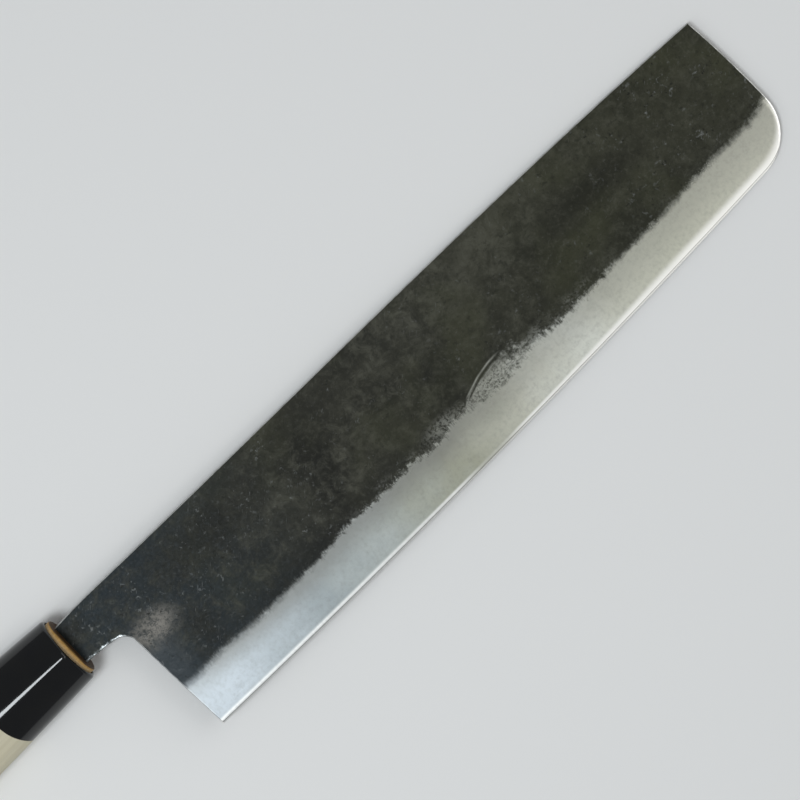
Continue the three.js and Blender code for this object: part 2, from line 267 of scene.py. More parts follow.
def add_piece(name, mesh, places, marks, material, node, slot):
    """Puts a mesh made along the knife's axes where its solid is, with marks for its material."""
    spots = mesh.attributes.new("place", "FLOAT_VECTOR", "POINT")
    spots.data.foreach_set("vector", places.astype(np.float32).ravel())
    for mark, values in marks.items():
        made = mesh.attributes.new(mark, "FLOAT", "POINT")
        made.data.foreach_set("value", values.astype(np.float32))
    mesh.transform(resting)
    mesh.materials.append(material)
    piece = bpy.data.objects.new(name, mesh)
    bpy.context.scene.collection.objects.link(piece)
    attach(piece, "root")
    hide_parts(node)


def places_of(mesh):
    places = np.empty(len(mesh.vertices) * 3, np.float32)
    mesh.vertices.foreach_get("co", places)
    return places.reshape(-1, 3).astype(float)


# Blade outline


def steps_along(*points):
    length = sum(np.linalg.norm(b - a) for a, b in zip(points, points[1:]))
    return np.linspace(0, 1, max(2, math.ceil(length / OUTLINE_STEP)), endpoint=False)[:, None]


def straight(a, b):
    return lerp(a, b, steps_along(a, b))


def quadratic(a, b, c):
    t = steps_along(a, b, c)
    return (1 - t) ** 2 * a + 2 * (1 - t) * t * b + t**2 * c


def cubic(a, b, c, d):
    t = steps_along(a, b, c, d)
    return (1 - t) ** 3 * a + 3 * (1 - t) ** 2 * t * b + 3 * (1 - t) * t**2 * c + t**3 * d


def blade_outline():
    """Points round the blade and tang, against the clock, and how keen the edge is at each, from 0 to 1."""

    def at(x, y):
        return np.array((x, y), float)

    def spine_at(share, lift):
        return at(FRONT_TOP_X * share, lerp(HEEL_HEIGHT, FRONT_HEIGHT, share) + lift)

    flare_y = NECK_LOW_Y - NECK_FLARE
    choil_side = CHOIL_RADIUS / 3
    choil_start = at(-HEEL_LEAN - CHOIL_RADIUS, flare_y + choil_side)
    choil_end = at(-HEEL_LEAN * (1 - CHOIL_RADIUS / flare_y), flare_y - CHOIL_RADIUS)

    tip_x = BLADE_LENGTH - TIP_RADIUS
    tip_slope = math.atan(2 * EDGE_BELLY * tip_x / BLADE_LENGTH**2)
    edge_end_x = tip_x + TIP_RADIUS * math.sin(tip_slope)
    edge_end = at(edge_end_x, edge_y(edge_end_x))
    tip_y = edge_end[1] + TIP_RADIUS * math.cos(tip_slope)
    turns = np.arange(tip_slope - math.pi / 2, 0, OUTLINE_STEP / TIP_RADIUS / 2)
    tip = at(tip_x, tip_y) + TIP_RADIUS * np.stack([np.cos(turns), np.sin(turns)], 1)
    front_top = at(FRONT_TOP_X, FRONT_HEIGHT)

    # A cubic with one handle lifted rises by 4 / 9 of the lift
    bow_pull = 9 / 4 * SPINE_BOW
    root_half = NECK_HEIGHT / 2 - TANG_SHOULDER
    end_half = TANG_END_HEIGHT / 2

    blunt = [
        straight(at(SEAT_X, NECK_LOW_Y), at(MOUTH_X, NECK_LOW_Y)),
        quadratic(at(MOUTH_X, NECK_LOW_Y), at(MOUTH_X / 2, NECK_LOW_Y), choil_start),
        quadratic(choil_start, at(-HEEL_LEAN, flare_y - choil_side), choil_end),
        straight(choil_end, at(0, 0)),
    ]
    edge = quadratic(at(0, 0), at(edge_end_x / 2, 0), edge_end)
    back = [
        quadratic(at(BLADE_LENGTH, tip_y), at(BLADE_LENGTH, (tip_y + FRONT_HEIGHT) / 2), front_top),
        cubic(front_top, spine_at(2 / 3, bow_pull), spine_at(1 / 3, 0), spine_at(0, 0)),
        quadratic(spine_at(0, 0), at(MOUTH_X / 2, HEEL_HEIGHT), at(MOUTH_X, NECK_TOP_Y)),
        straight(at(MOUTH_X, NECK_TOP_Y), at(SEAT_X, NECK_TOP_Y)),
        straight(at(SEAT_X, NECK_TOP_Y), at(SEAT_X, AXIS_Y + root_half)),
        straight(at(SEAT_X, AXIS_Y + root_half), at(TANG_END_X, AXIS_Y + end_half)),
        straight(at(TANG_END_X, AXIS_Y + end_half), at(TANG_END_X, AXIS_Y - end_half)),
        straight(at(TANG_END_X, AXIS_Y - end_half), at(SEAT_X, AXIS_Y - root_half)),
        straight(at(SEAT_X, AXIS_Y - root_half), at(SEAT_X, NECK_LOW_Y)),
    ]
    keen = np.concatenate(
        [
            np.zeros(sum(map(len, blunt))),
            np.ones(len(edge)),
            1 - smooth(np.arange(len(tip)) / len(tip), 0, 1),
            np.zeros(sum(map(len, back))),
        ]
    )
    return np.concatenate([*blunt, edge, tip, *back]), keen


def inward_of(outline):
    """At each point of a closed outline, the step inwards that moves both its sides by one."""
    along = np.roll(outline, -1, 0) - outline
    along /= np.linalg.norm(along, axis=1)[:, None]
    left = np.stack([-along[:, 1], along[:, 0]], 1)
    before = np.roll(left, 1, 0)
    return (left + before) / (1 + (left * before).sum(1))[:, None]


def inside(points, outline):
    crossings = np.zeros(len(points), int)
    for a, b in zip(outline, np.roll(outline, -1, 0)):
        spans = (points[:, 1] < a[1]) != (points[:, 1] < b[1])
        if spans.any():
            reach = a[0] + (points[spans, 1] - a[1]) / (b[1] - a[1]) * (b[0] - a[0])
            crossings[spans] += points[spans, 0] < reach
    return crossings % 2 == 1


# Blade surface


def even_line(x):
    """Height of the grind's even shoulder line."""
    return edge_y(x) + lerp(BEVEL_AT_HEEL, BEVEL_AT_FRONT, x / BLADE_LENGTH)


def shoulder_line(x, left):
    """Height at which the grinding really stops."""
    if left:
        along = [Vector((value / LEFT_LINE_WAVE, 0, 0)) for value in x]
        waves = np.array([noise.noise(place + LEFT_LINE_SHIFT) for place in along])
    else:
        waves = np.interp(x, *zip(*SHOULDER_WAVES))
    return even_line(x) + waves


def bevel_rise(x):
    return (side_half(x, even_line(x)) - BEHIND_EDGE / 2) / (even_line(x) - edge_y(x))


def bevel_half(x, y):
    """Half thickness of the ground wedge, as if it went on above its shoulder."""
    return BEHIND_EDGE / 2 + bevel_rise(x) * (y - edge_y(x))


def waves_at(x, y, wave, left):
    height, length = wave
    shift = LEFT_SIDE_SHIFT if left else Vector()
    places = [Vector((a / length, b / length, 0)) for a, b in zip(x, y)]
    return height * np.array([noise.noise(place + shift) for place in places])


def forged_half(x, y, left):
    """Half thickness of the forged surface, which meets the bevel along the real shoulder line."""
    line = shoulder_line(x, left)
    flat = side_half(x, y)
    meeting = bevel_half(x, line) - side_half(x, line)
    near_line = np.exp(-(((y - line) / SHOULDER_PULL) ** 2))
    waves = waves_at(x, y, LONG_WAVE, left) + waves_at(x, y, HAMMER_WAVE, left)
    on_blade = smooth(x, WAVES_START, WAVES_FULL)
    return flat + on_blade * (waves * (1 - near_line) + meeting * near_line)


def tang_half(x):
    share = (x - TANG_END_X) / (SEAT_X - TANG_END_X)
    root = side_half(SEAT_X, NECK_LOW_Y) - TANG_SHOULDER
    return lerp(TANG_END_THICKNESS / 2, root, share)


def surface_half(x, y, gap, keen, left):
    """Half thickness of the finished blade at a gap from its outline."""
    flat = side_half(x, y)
    ground = np.where(x > GRIND_START, bevel_half(x, y), np.inf)
    half = np.minimum(forged_half(x, y, left), ground)
    to_middle = np.maximum(EASED_EDGE - gap, 0)
    eased = half - (EASED_EDGE - np.sqrt(np.maximum(EASED_EDGE**2 - to_middle**2, 0)))
    base = lerp(flat - EASED_EDGE, EDGE_THICKNESS / 2, keen)
    honed = np.minimum(half, base + math.tan(EDGE_HALF_ANGLE) * gap)
    finished = np.where(keen > 0, honed, eased)
    return np.where(x < SEAT_X - TANG_START_GAP, tang_half(x), finished)


def ground_depth(x, y, left):
    """How much the stone took off the forged surface. Below 0 it never reached it."""
    return np.where(x > GRIND_START, forged_half(x, y, left) - bevel_half(x, y), NEVER_GROUND)


def under_brushed_top(x, y):
    """How far below the brushed spot's top a place on the right side lies."""
    return np.interp(x, *zip(*BRUSHED_TOP), left=0, right=0) - y


def sheet_places(outline, inward):
    """Points over the blade: rings by its outline, a fine band by the shoulder line and a coarse rest."""
    rings = np.concatenate([outline + inward * depth for depth in RING_DEPTHS])
    low, high = outline.min(0), outline.max(0)

    def grid(step):
        rows = np.arange(low[1], high[1], step * math.sqrt(3) / 2)
        columns = np.arange(low[0], high[0], step)
        x, y = np.meshgrid(columns, rows)
        x[1::2] += step / 2
        return np.stack([x.ravel(), y.ravel()], 1)

    def off_line(points):
        x, y = points.T
        return np.where(x > GRIND_START, np.abs(y - shoulder_line(x, False)), np.inf)

    coarse, fine = grid(COARSE_STEP), grid(FINE_STEP)
    field = np.concatenate([coarse[off_line(coarse) > FINE_BAND], fine[off_line(fine) <= FINE_BAND]])
    field = field[inside(field, outline)]
    tree = tree_of(outline)
    gaps = np.array([tree.find((*point, 0))[2] for point in field])
    return np.concatenate([rings, field[gaps > RING_DEPTHS[-1] + FINE_STEP / 2]])


def tree_of(points):
    tree = KDTree(len(points))
    for i, point in enumerate(points):
        tree.insert((*point, 0), i)
    tree.balance()
    return tree


def forging():
    """The whole blade and tang as one closed mesh, before it is told apart into layers."""
    outline, keen = blade_outline()
    inward = inward_of(outline)
    places = sheet_places(outline, inward)
    count = len(outline)
    ring_count = count * len(RING_DEPTHS)
    tree = tree_of(outline)
    found = [tree.find((*point, 0)) for point in places[ring_count:]]
    on_rings = np.tile(np.arange(count), len(RING_DEPTHS))
    nearest = np.concatenate([on_rings, np.array([item[1] for item in found])])
    gap = np.concatenate([np.repeat(RING_DEPTHS, count), np.array([item[2] for item in found])])

    inside_only = 1
    points = [Vector(place) for place in places]
    meshed = delaunay_2d_cdt(points, [], [range(count)], inside_only, POINT_SLACK, False)
    faces = np.array(meshed[2])
    faces = faces[inside(places[faces].mean(1), outline)]
    x, y = places.T
    heights = [surface_half(x, y, gap, keen[nearest], left) for left in (False, True)]
    right = np.stack([x, y, heights[0]], 1)
    left = np.stack([x, y, -heights[1]], 1)

    total = len(places)
    ring = np.arange(count)
    ahead = np.roll(ring, -1)
    walls = np.stack([ahead, ring, ring + total, ahead + total], 1)
    mesh = bpy.data.meshes.new("forged_blade")
    mesh.from_pydata(
        np.concatenate([right, left]).tolist(),
        [],
        [*faces.tolist(), *(faces[:, ::-1] + total).tolist(), *walls.tolist()],
    )
    return mesh, outline, keen


def cut_layer(blade, name, planes):
    """What a blade has on the far side of each plane, closed again where it was cut."""
    work = bmesh.new()
    work.from_mesh(blade)
    for face in work.faces:
        face.smooth = True
    for edge in work.edges:
        edge.smooth = edge.calc_face_angle() < BLADE_CREASE
    for point, normal in planes:
        geometry = [*work.verts, *work.edges, *work.faces]
        cut = bmesh.ops.bisect_plane(work, geom=geometry, plane_co=point, plane_no=normal, clear_inner=True)
        rim = [item for item in cut["geom_cut"] if isinstance(item, bmesh.types.BMEdge)]
        for edge in rim:
            edge.smooth = False
        bmesh.ops.edgeloop_fill(work, edges=rim)
    mesh = bpy.data.meshes.new(name)
    work.to_mesh(mesh)
    work.free()
    return mesh


def weld_plane(side, outer):
    """A point and the normal of one side of a weld, on the right (1) or left (-1) of the core."""
    slope = (CORE_AT_FRONT - CORE_AT_NECK) / 2 / (FRONT_TOP_X - MOUTH_X)
    height = core_half(0) + (WELD_GAP / 2 if outer else -WELD_GAP / 2)
    normal = Vector((-slope, 0, side))
    return Vector((0, 0, side * height)), normal if outer else -normal


def gaps_to(x, y, points):
    """The nearest of some points to each place, and how far it is."""
    tree = tree_of(points)
    found = [tree.find((a, b, 0)) for a, b in zip(x, y)]
    return np.array([item[1] for item in found]), np.array([item[2] for item in found])


def blade_marks(mesh, outline, keen):
    """At each point, what stone and file left of the scale, and how far the rim and the honed edge are."""
    places = places_of(mesh)
    x, y, z = places.T
    right = z >= 0
    honed = keen > HONED_KEENNESS
    nearest, edge = gaps_to(x, y, outline[honed])
    marks = {
        "ground": np.where(right, ground_depth(x, y, False), ground_depth(x, y, True)),
        "brushed": np.where(right, under_brushed_top(x, y), NOT_BRUSHED),
        "rim": gaps_to(x, y, outline)[1],
        "edge": edge + HONE_FADE * (1 - keen[honed][nearest]),
        "filed": right * smooth(x, FILED_START, FILED_FULL) * smooth(y, AXIS_Y, NECK_LOW_Y),
    }
    return places, marks


def add_blade():
    blade, outline, keen = forging()
    cladding = cladding_material()
    core_sides = [weld_plane(1, False), weld_plane(-1, False)]
    layers = (
        ("core_layer", "core_steel", "core_steel", core_material(), core_sides),
        ("right_layer", "right_cladding", "clad_iron", cladding, [weld_plane(1, True)]),
        ("left_layer", "left_cladding", "clad_iron", cladding, [weld_plane(-1, True)]),
    )
    for name, node, slot, material, planes in layers:
        mesh = cut_layer(blade, name, planes)
        add_piece(name, mesh, *blade_marks(mesh, outline, keen), material, node, slot)
    bpy.data.meshes.remove(blade)


# Handle and ferrule


def around():
    """Angles once round from the ridge, closest together on it."""
    share = np.arange(AROUND) / AROUND * 2 - 1
    return np.pi * np.sign(share) * np.abs(share) ** RIDGE_CROWDING


AWAY = around()


def flare(behind):
    return 1 - (1 - behind / HANDLE_LENGTH) ** 2


def chestnut(x, inset):
    """The section at x, one for all points or for each: an oval with a soft ridge on its right side."""
    x = np.broadcast_to(x, AROUND)
    spread = flare(MOUTH_X - x)
    half_height = lerp(MOUTH_HEIGHT, BUTT_HEIGHT, spread) / 2 - FACET_INSET - inset
    half_thickness = lerp(MOUTH_THICKNESS, BUTT_THICKNESS, spread) / 2 - FACET_INSET - inset
    softness = np.interp(x, (JOINT_X, MOUTH_X), (RIDGE_SOFT_AT_JOINT, RIDGE_SOFT_AT_MOUTH))
    off_ridge = np.sqrt(AWAY**2 + softness**2) / RIDGE_SPREAD
    ridge = RIDGE_RISE * np.maximum(0, 1 - off_ridge) ** 2
    angle = np.arccos(-RIDGE_DROP / half_height) + AWAY
    return np.stack([x, AXIS_Y + half_height * np.cos(angle), half_thickness * np.sin(angle) + ridge], 1)


def oval(x, half_height, half_thickness):
    """An oval at x whose points lie in the directions of the section's."""
    x = np.broadcast_to(x, AROUND)
    angle = math.acos(-RIDGE_DROP / (MOUTH_HEIGHT / 2)) + AWAY
    return np.stack([x, AXIS_Y + half_height * np.cos(angle), half_thickness * np.sin(angle)], 1)


def spigot(x, gap):
    growth = gap + SPIGOT_DRAFT * (MOUTH_X - x) / FERRULE_LENGTH
    return oval(x, SPIGOT_HEIGHT / 2 + growth, SPIGOT_THICKNESS / 2 + growth)


def rectangle(x, half_height, half_thickness):
    """A rectangle at x whose points lie in the directions of an oval's."""
    loop = oval(x, 1, 1)
    y, z = loop[:, 1] - AXIS_Y, loop[:, 2]
    reach = 1 / np.maximum(np.abs(y) / half_height, np.abs(z) / half_thickness)
    return np.stack([loop[:, 0], AXIS_Y + y * reach, z * reach], 1)


def rim_steps(radius):
    """Insets and setbacks of a rounded rim, from its end face to where the side runs straight."""
    angles = np.linspace(0, math.pi / 2, ROUND_STEPS + 1)
    return list(zip(radius * (1 - np.sin(angles)), radius * (1 - np.cos(angles))))


JOINT_RADIUS = lerp(MOUTH_HEIGHT, BUTT_HEIGHT, flare(FERRULE_LENGTH)) / 2


def shoulder_x(loop):
    """Where the dished shoulder between wood and ferrule lies behind each point of a loop."""
    radius = np.hypot(loop[:, 1] - AXIS_Y, loop[:, 2])
    return JOINT_X - JOINT_DISH * (JOINT_RADIUS - radius)


def on_shoulder(section, shift):
    """A section's loop moved along the handle until it lies on the dished shoulder."""
    x = np.full(AROUND, JOINT_X)
    for _ in range(SEATING_ROUNDS):
        x = shoulder_x(section(x)) + shift
    return section(x)


def skinned(name, loops, ring):
    """A closed mesh over a row of loops: a ring of them, or a row with both its ends filled."""
    index = np.arange(AROUND)
    ahead = np.roll(index, -1)
    pairs = list(zip(range(len(loops)), range(1, len(loops))))
    if ring:
        pairs.append((len(loops) - 1, 0))
    faces = []
    for a, b in pairs:
        quads = [index + a * AROUND, index + b * AROUND, ahead + b * AROUND, ahead + a * AROUND]
        faces += np.stack(quads, 1).tolist()
    if not ring:
        faces += [index.tolist(), (index[::-1] + (len(loops) - 1) * AROUND).tolist()]
    mesh = bpy.data.meshes.new(name)
    mesh.from_pydata(np.concatenate(loops).tolist(), [], faces)
    work = bmesh.new()
    work.from_mesh(mesh)
    bmesh.ops.recalc_face_normals(work, faces=work.faces)
    work.to_mesh(mesh)
    work.free()
    mesh.polygons.foreach_set("use_smooth", np.ones(len(mesh.polygons), bool))
    mesh.set_sharp_from_angle(angle=HANDLE_CREASE)
    return mesh


def between(first, last, count):
    return [lerp(first, last, share) for share in np.linspace(0, 1, count + 1)[1:]]


def skin(x):
    return chestnut(x, 0)


def bore(x):
    return spigot(x, FIT_GAP)


def plug(x):
    return spigot(x, 0)


def ferrule_loops():
    """From the joint along the skin, over the rounded mouth and back through the bore."""
    joint = on_shoulder(skin, 0)
    inner = on_shoulder(bore, 0)
    front = np.full(AROUND, MOUTH_X - BORE_FRONT)
    loops = [joint]
    loops += [skin(x) for x in between(joint[:, 0], MOUTH_X - FERRULE_ROUND, FERRULE_ROWS)]
    loops += [chestnut(MOUTH_X - back, inset) for inset, back in rim_steps(FERRULE_ROUND)[-2::-1]]
    loops += [bore(MOUTH_X - BORE_RIM), bore(MOUTH_X - BORE_FRONT)]
    loops += [bore(x) for x in between(front, inner[:, 0], BORE_ROWS)]
    return loops


def handle_loops():
    """From the butt along the skin, round the spigot and back down the slot to its floor."""
    slot_half = side_half(SEAT_X, HEEL_HEIGHT) + FIT_GAP / 2
    step_x = SEAT_X - FIT_GAP

    def slot(x):
        return rectangle(x, NECK_HEIGHT / 2 + FIT_GAP / 2, slot_half)

    joint = on_shoulder(skin, -JOINT_SEAM)
    root = on_shoulder(plug, -JOINT_SEAM)
    rounded = np.full(AROUND, BUTT_X + BUTT_ROUND)
    loops = [chestnut(BUTT_X, inset) for inset in BUTT_INSETS]
    loops += [chestnut(BUTT_X + back, inset) for inset, back in rim_steps(BUTT_ROUND)]
    loops += [skin(x) for x in between(rounded, joint[:, 0], GRIP_ROWS)]
    loops += [root]
    loops += [plug(x) for x in between(root[:, 0], SPIGOT_END_X - SPIGOT_ROUND, SPIGOT_ROWS)]
    loops += [spigot(SPIGOT_END_X - back, -inset) for inset, back in rim_steps(SPIGOT_ROUND)[-2::-1]]
    mouth = slot(SPIGOT_END_X)
    loops += [lerp(loops[-1], mouth, share) for share in SPIGOT_FACE_SHARES]
    loops += [mouth, slot(SPIGOT_END_X - SLOT_RIM), slot(step_x)]
    root_half = NECK_HEIGHT / 2 - TANG_SHOULDER + FIT_GAP
    end_half = TANG_END_HEIGHT / 2 + FIT_GAP
    loops += [
        rectangle(step_x, root_half, slot_half - TANG_SHOULDER),
        rectangle(TANG_END_X - FIT_GAP, end_half, TANG_END_THICKNESS / 2 + FIT_GAP),
    ]
    return loops


def add_handle():
    mesh = skinned("grip", handle_loops(), False)
    places = places_of(mesh)
    x, y, z = places.T
    to_slot = np.maximum(np.abs(y - AXIS_Y) - NECK_HEIGHT / 2, np.abs(z) - SPINE_AT_NECK / 2)
    end_face = smooth(x, DARK_END_START, DARK_END_FULL)
    marks = {
        "toasted": smooth(x, TOAST_START, TOAST_FULL),
        "darker_end": end_face * (1 - smooth(to_slot, DARK_END_REACH, DARK_END_STOP)),
    }
    add_piece("grip", mesh, places, marks, wood_material(), "handle", "handle_wood")


def add_ferrule():
    mesh = skinned("collar", ferrule_loops(), True)
    add_piece("collar", mesh, places_of(mesh), {}, ferrule_material(), "ferrule", "ferrule_black")


# Materials


# Black scale, also painted as shade on the neck by the ferrule
BLACK_SCALE_AND_SHADE = (0.0115, 0.0118, 0.0085, 1)
ASH = (0.035, 0.035, 0.025, 1)
PALE_ASH = (0.096, 0.096, 0.074, 1)
OLIVE_SCALE = (0.048, 0.05, 0.028, 1)
# Tints of a painted bluish sheen on the scale: darker towards the neck, paler by the heel
BLUE_SHEEN_SCALE = (0.017, 0.026, 0.032, 1)
PALE_BLUE_SHEEN = (0.058, 0.070, 0.079, 1)
RUBBED_SCALE = (0.235, 0.222, 0.198, 1)
BARED_SPECK = (0.39, 0.41, 0.41, 1)
# Dull steel, also painted as shade on the bevel by the shoulder line
DULL_STEEL_AND_SHADE = (0.22, 0.22, 0.205, 1)
# Honed steel, painted lighter as a highlight along the edge and the spine's eased rim
HONED_STEEL_AND_HIGHLIGHT = (0.93, 0.93, 0.90, 1)
# The ground bevel's colours from heel to front: the steel's tone with painted reflections, bluish by the
# heel and lighter and darker in places along the blade
STEEL_AND_REFLECTIONS_ALONG = (
    (0.04, (0.47, 0.51, 0.54, 1)),
    (0.19, (0.33, 0.365, 0.373, 1)),
    (0.29, (0.435, 0.465, 0.447, 1)),
    (0.42, (0.395, 0.40, 0.318, 1)),
    (0.54, (0.56, 0.565, 0.49, 1)),
    (0.625, (0.65, 0.67, 0.615, 1)),
    (0.7, (0.55, 0.56, 0.485, 1)),
    (0.79, (0.53, 0.54, 0.455, 1)),
    (0.95, (0.51, 0.515, 0.44, 1)),
)
WOOD = (0.66, 0.61, 0.455, 1)
WOOD_RING = (0.555, 0.495, 0.34, 1)
WOOD_STREAK = (0.55, 0.505, 0.365, 1)
WOOD_CLOUD = (0.58, 0.55, 0.43, 1)
WOOD_PORE = (0.36, 0.31, 0.21, 1)
GOLDEN_WOOD = (0.50, 0.305, 0.10, 1)
BROWNED_WOOD = (0.37, 0.205, 0.055, 1)
DARK_END_WOOD = (0.055, 0.025, 0.007, 1)
BLUISH_BLACK = (0.002, 0.0025, 0.004, 1)
WARM_BLACK = (0.006, 0.006, 0.005, 1)
FLOOR_WHITE = (0.85, 0.85, 0.84, 1)

# How deep the finest relief is
CRUST_DEPTH = 0.035
SCRATCH_DEPTH = 0.004
FIBRE_DEPTH = 0.02
RUB_DEPTH = 0.0015
# The share of the crust's depth that scratches have where the cladding is bared
SCRATCH_SHARE = 0.12

# The dark line by the honed edge: how far from the edge it is, and its reach
HONE_LINE = (0.52, 0.16)
# Two lines and the groove between them: how far below the brushed spot's top each is, and its reach
UPPER_LINE = (0.15, 0.5)
GROOVE = (0.95, 0.6)
LOWER_LINE = (1.75, 0.5)
HAIRS_TURN = math.radians(46)
# The share of an oval spot's reach within which it is full
SPOT_MIDDLE = 0.15
# Where the scale by the choil is rubbed, and where specks gather near it: the middle and the reach of each
RUBBED_SPOT = ((4.4, 34, 1.8), (12, 7.4, 8))
RUBBED_TRAIL = ((30, 36.5, 1.8), (40, 9, 8))
# Where the scale is blackest: the middle and the reach of each spot. The first, on the neck by the ferrule,
# is painted shade.
DARK_SPOTS_AND_FERRULE_SHADE = (
    ((-15, 50, 1.8), (9, 7, 9)),
    ((15.5, 25, 1.8), (7, 10, 9)),
    ((36, 44, 1.8), (34, 12, 9)),
    ((80, 50, 1.8), (24, 8, 9)),
    ((186, 39.5, 1.2), (32, 8, 9)),
)
# Where the stone thinned the scale above its line: the middle and the reach of the spot
THINNED_SPOT = ((106, 18.7, 1.5), (11, 4.2, 2.5))
# The wood's rings: their middle, spacing, wavering and stretch along the handle
PITH = (0, AXIS_Y - 34, -27)
RING_SPACING = 3.1
RING_WAVER = 9.0
RING_STRETCH = 4


class Finish:
    """A material's nodes, made one at a time. An input is a value or another node's output."""

    def __init__(self, name):
        self.material = bpy.data.materials.new(name)
        self.material.use_nodes = True
        self.nodes = self.material.node_tree.nodes
        self.links = self.material.node_tree.links
        self.shader = self.nodes["Principled BSDF"]

    def put(self, socket, value):
        if isinstance(value, bpy.types.NodeSocket):
            self.links.new(value, socket)
        else:
            socket.default_value = value

    def node(self, kind, inputs, output=0, **settings):
        made = self.nodes.new(kind)
        for name, value in settings.items():
            setattr(made, name, value)
        for key, value in inputs.items():
            self.put(made.inputs[key], value)
        return made.outputs[output]

    def set(self, **inputs):
        for name, value in inputs.items():
            self.put(self.shader.inputs[name.replace("_", " ").title().replace("Ior", "IOR")], value)

    def mark(self, name, output="Fac"):
        return self.node("ShaderNodeAttribute", {}, output, attribute_name=name)

    def along(self, axis="X"):
        """Millimetres along one of the knife's axes."""
        return self.node("ShaderNodeSeparateXYZ", {0: self.mark("place", "Vector")}, axis)

    def place(self, size=1.0, shift=(0, 0, 0), turn=0.0):
        """Steps from a shifted place along axes turned about z, of one size or one for each axis."""
        inputs = {
            "Vector": self.mark("place", "Vector"),
            "Location": shift,
            "Rotation": (0, 0, turn),
            "Scale": size if isinstance(size, tuple) else (size, size, size),
        }
        return self.node("ShaderNodeMapping", inputs, vector_type="TEXTURE")

    def grain(self, size, detail=3.0, roughness=0.55, distortion=0.0, shift=(0, 0, 0), turn=0.0):
        """Noise from 0 to 1 with lumps of about a size in millimetres."""
        inputs = {
            "Vector": self.place(size, shift, turn),
            "Scale": 1.0,
            "Detail": detail,
            "Roughness": roughness,
            "Distortion": distortion,
        }
        return self.node("ShaderNodeTexNoise", inputs)

    def rings(self, spacing, middle, distortion):
        """Waves from 0 to 1 in long rings about a middle, that far apart in millimetres."""
        # At scale 1 a wave repeats after pi / 10
        inputs = {
            "Vector": self.place((RING_STRETCH, 1, 1), middle),
            "Scale": math.pi / 10 / spacing,
            "Distortion": distortion,
            "Detail Scale": 0.5,
        }
        return self.node("ShaderNodeTexWave", inputs, "Fac", wave_type="RINGS")

    def within(self, middle, reach):
        """1 in the middle of an oval spot, easing to 0 at its reach."""
        steps = self.place(reach, middle)
        distance = self.node("ShaderNodeVectorMath", {0: steps}, "Value", operation="LENGTH")
        return self.band(distance, 1.0, SPOT_MIDDLE)

    def math(self, operation, a, b=0.0):
        return self.node("ShaderNodeMath", {0: a, 1: b}, operation=operation)

    def times(self, a, b):
        return self.math("MULTIPLY", a, b)

    def plus(self, a, b):
        return self.math("ADD", a, b)

    def most(self, a, b):
        return self.math("MAXIMUM", a, b)

    def swing(self, value, width):
        """A value from 0 to 1 as one about 0, that far from end to end."""
        return self.node("ShaderNodeMath", {0: value, 1: width, 2: -width / 2}, operation="MULTIPLY_ADD")

    def band(self, value, low, high, to_low=0.0, to_high=1.0):
        """A value eased from one range to another."""
        inputs = {"Value": value, "From Min": low, "From Max": high, "To Min": to_low, "To Max": to_high}
        return self.node("ShaderNodeMapRange", inputs, interpolation_type="SMOOTHSTEP")

    def peak(self, value, middle, reach):
        """1 where a value is at a middle, easing to 0 at a reach from it."""
        return self.band(self.math("ABSOLUTE", self.math("SUBTRACT", value, middle)), reach, 0.0)

    def mix(self, share, a, b):
        """Colours a and b mixed by a share."""
        return self.node("ShaderNodeMix", {"Factor": share, 6: a, 7: b}, 2, data_type="RGBA")

    def blend(self, share, a, b):
        """Values a and b mixed by a share."""
        return self.node("ShaderNodeMix", {"Factor": share, 2: a, 3: b}, 0, data_type="FLOAT")

    def ramp(self, value, stops):
        made = self.nodes.new("ShaderNodeValToRGB")
        elements = made.color_ramp.elements
        while len(elements) < len(stops):
            elements.new(0.5)
        for element, (position, colour) in zip(elements, stops):
            element.position = position
            element.color = colour
        self.put(made.inputs[0], value)
        return made.outputs[0]

    def bump(self, height, depth):
        """Normals for a height from 0 to 1 that stands for a depth in millimetres."""
        return self.node("ShaderNodeBump", {"Height": height, "Distance": depth * MM, "Strength": 1.0})


